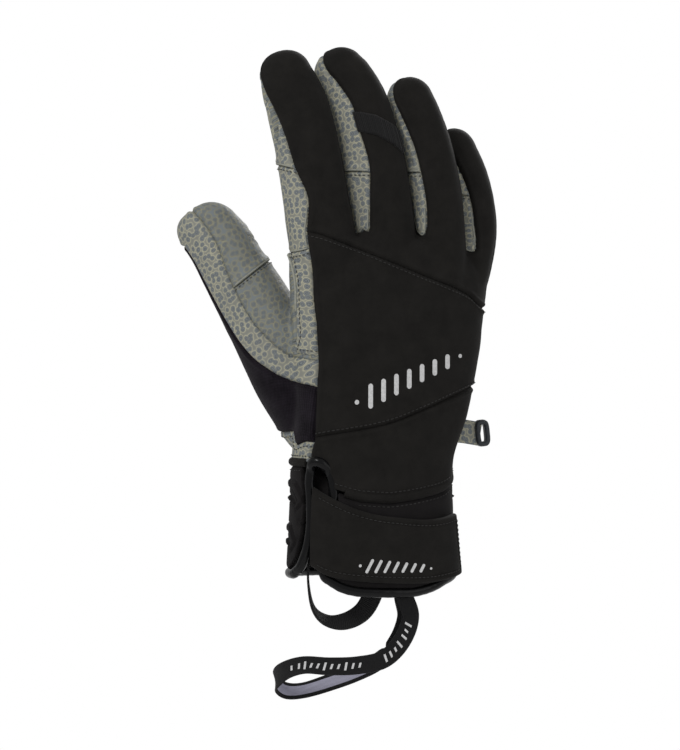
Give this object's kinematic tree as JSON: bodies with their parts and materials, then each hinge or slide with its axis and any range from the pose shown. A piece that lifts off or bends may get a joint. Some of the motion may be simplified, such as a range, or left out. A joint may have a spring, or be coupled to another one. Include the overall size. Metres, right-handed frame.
{
  "type": "climbing glove",
  "caption": "Right-hand climbing glove with a softshell back, patterned leather palm, padded cuff with wrist strap, side clip and two hanging loops.",
  "frame": {"origin": "middle of the wrist opening, at the height of the hem", "axes": "+Z from the wrist opening to the fingertips, -Y out of the back of the hand, +Y out of the palm, -X to the thumb side"},
  "size_m": [0.1566, 0.0776, 0.3258],
  "materials": {
    "back_knuckle_panel": "matt stretch-woven softshell",
    "back_middle_panel": "matt stretch-woven softshell",
    "back_wrist_panel": "matt stretch-woven softshell",
    "cuff": "matt stretch-woven softshell",
    "slit_gusset": "matt stretch-woven softshell",
    "closure_strap": "matt stretch-woven softshell",
    "palm_panel": "matt grey leather with a printed pattern",
    "index_front_base": "matt grey leather with a printed pattern",
    "index_front_tip": "matt grey leather with a printed pattern",
    "middle_front_base": "matt grey leather with a printed pattern",
    "middle_front_tip": "matt grey leather with a printed pattern",
    "ring_front_base": "matt grey leather with a printed pattern",
    "ring_front_tip": "matt grey leather with a printed pattern",
    "little_front_base": "matt grey leather with a printed pattern",
    "little_front_tip": "matt grey leather with a printed pattern",
    "palm_patch": "matt grey leather with a printed pattern",
    "thumb_pad_tip": "matt grey leather with a printed pattern",
    "thumb_pad_base": "matt grey leather with a printed pattern",
    "thumb_side_strip": "matt grey leather with a printed pattern",
    "side_tab": "matt grey leather with a printed pattern",
    "thumb_knit_panel": "matt knit",
    "edge_binding": "coated glossy binding",
    "cuff_seam_roll": "coated glossy binding",
    "finger_band": "ribbed webbing",
    "pull_loop": "ribbed webbing",
    "tape_loop": "woven tape, dark outside and pale inside",
    "side_clip": "moulded, slightly glossy"
  },
  "bodies": {
    "root": {"back_knuckle_panel": "back_knuckle_panel", "back_middle_panel": "back_middle_panel", "back_wrist_panel": "back_wrist_panel", "cuff": "cuff", "slit_gusset": "slit_gusset", "closure_strap": "closure_strap", "palm_panel": "palm_panel", "index_front_base": "index_front_base", "index_front_tip": "index_front_tip", "middle_front_base": "middle_front_base", "middle_front_tip": "middle_front_tip", "ring_front_base": "ring_front_base", "ring_front_tip": "ring_front_tip", "little_front_base": "little_front_base", "little_front_tip": "little_front_tip", "palm_patch": "palm_patch", "thumb_pad_tip": "thumb_pad_tip", "thumb_pad_base": "thumb_pad_base", "thumb_side_strip": "thumb_side_strip", "side_tab": "side_tab", "thumb_knit_panel": "thumb_knit_panel", "edge_binding": "edge_binding", "cuff_seam_roll": "cuff_seam_roll", "finger_band": "finger_band", "pull_loop": "pull_loop", "tape_loop": "tape_loop", "side_clip": "side_clip"}
  },
  "joints": []
}
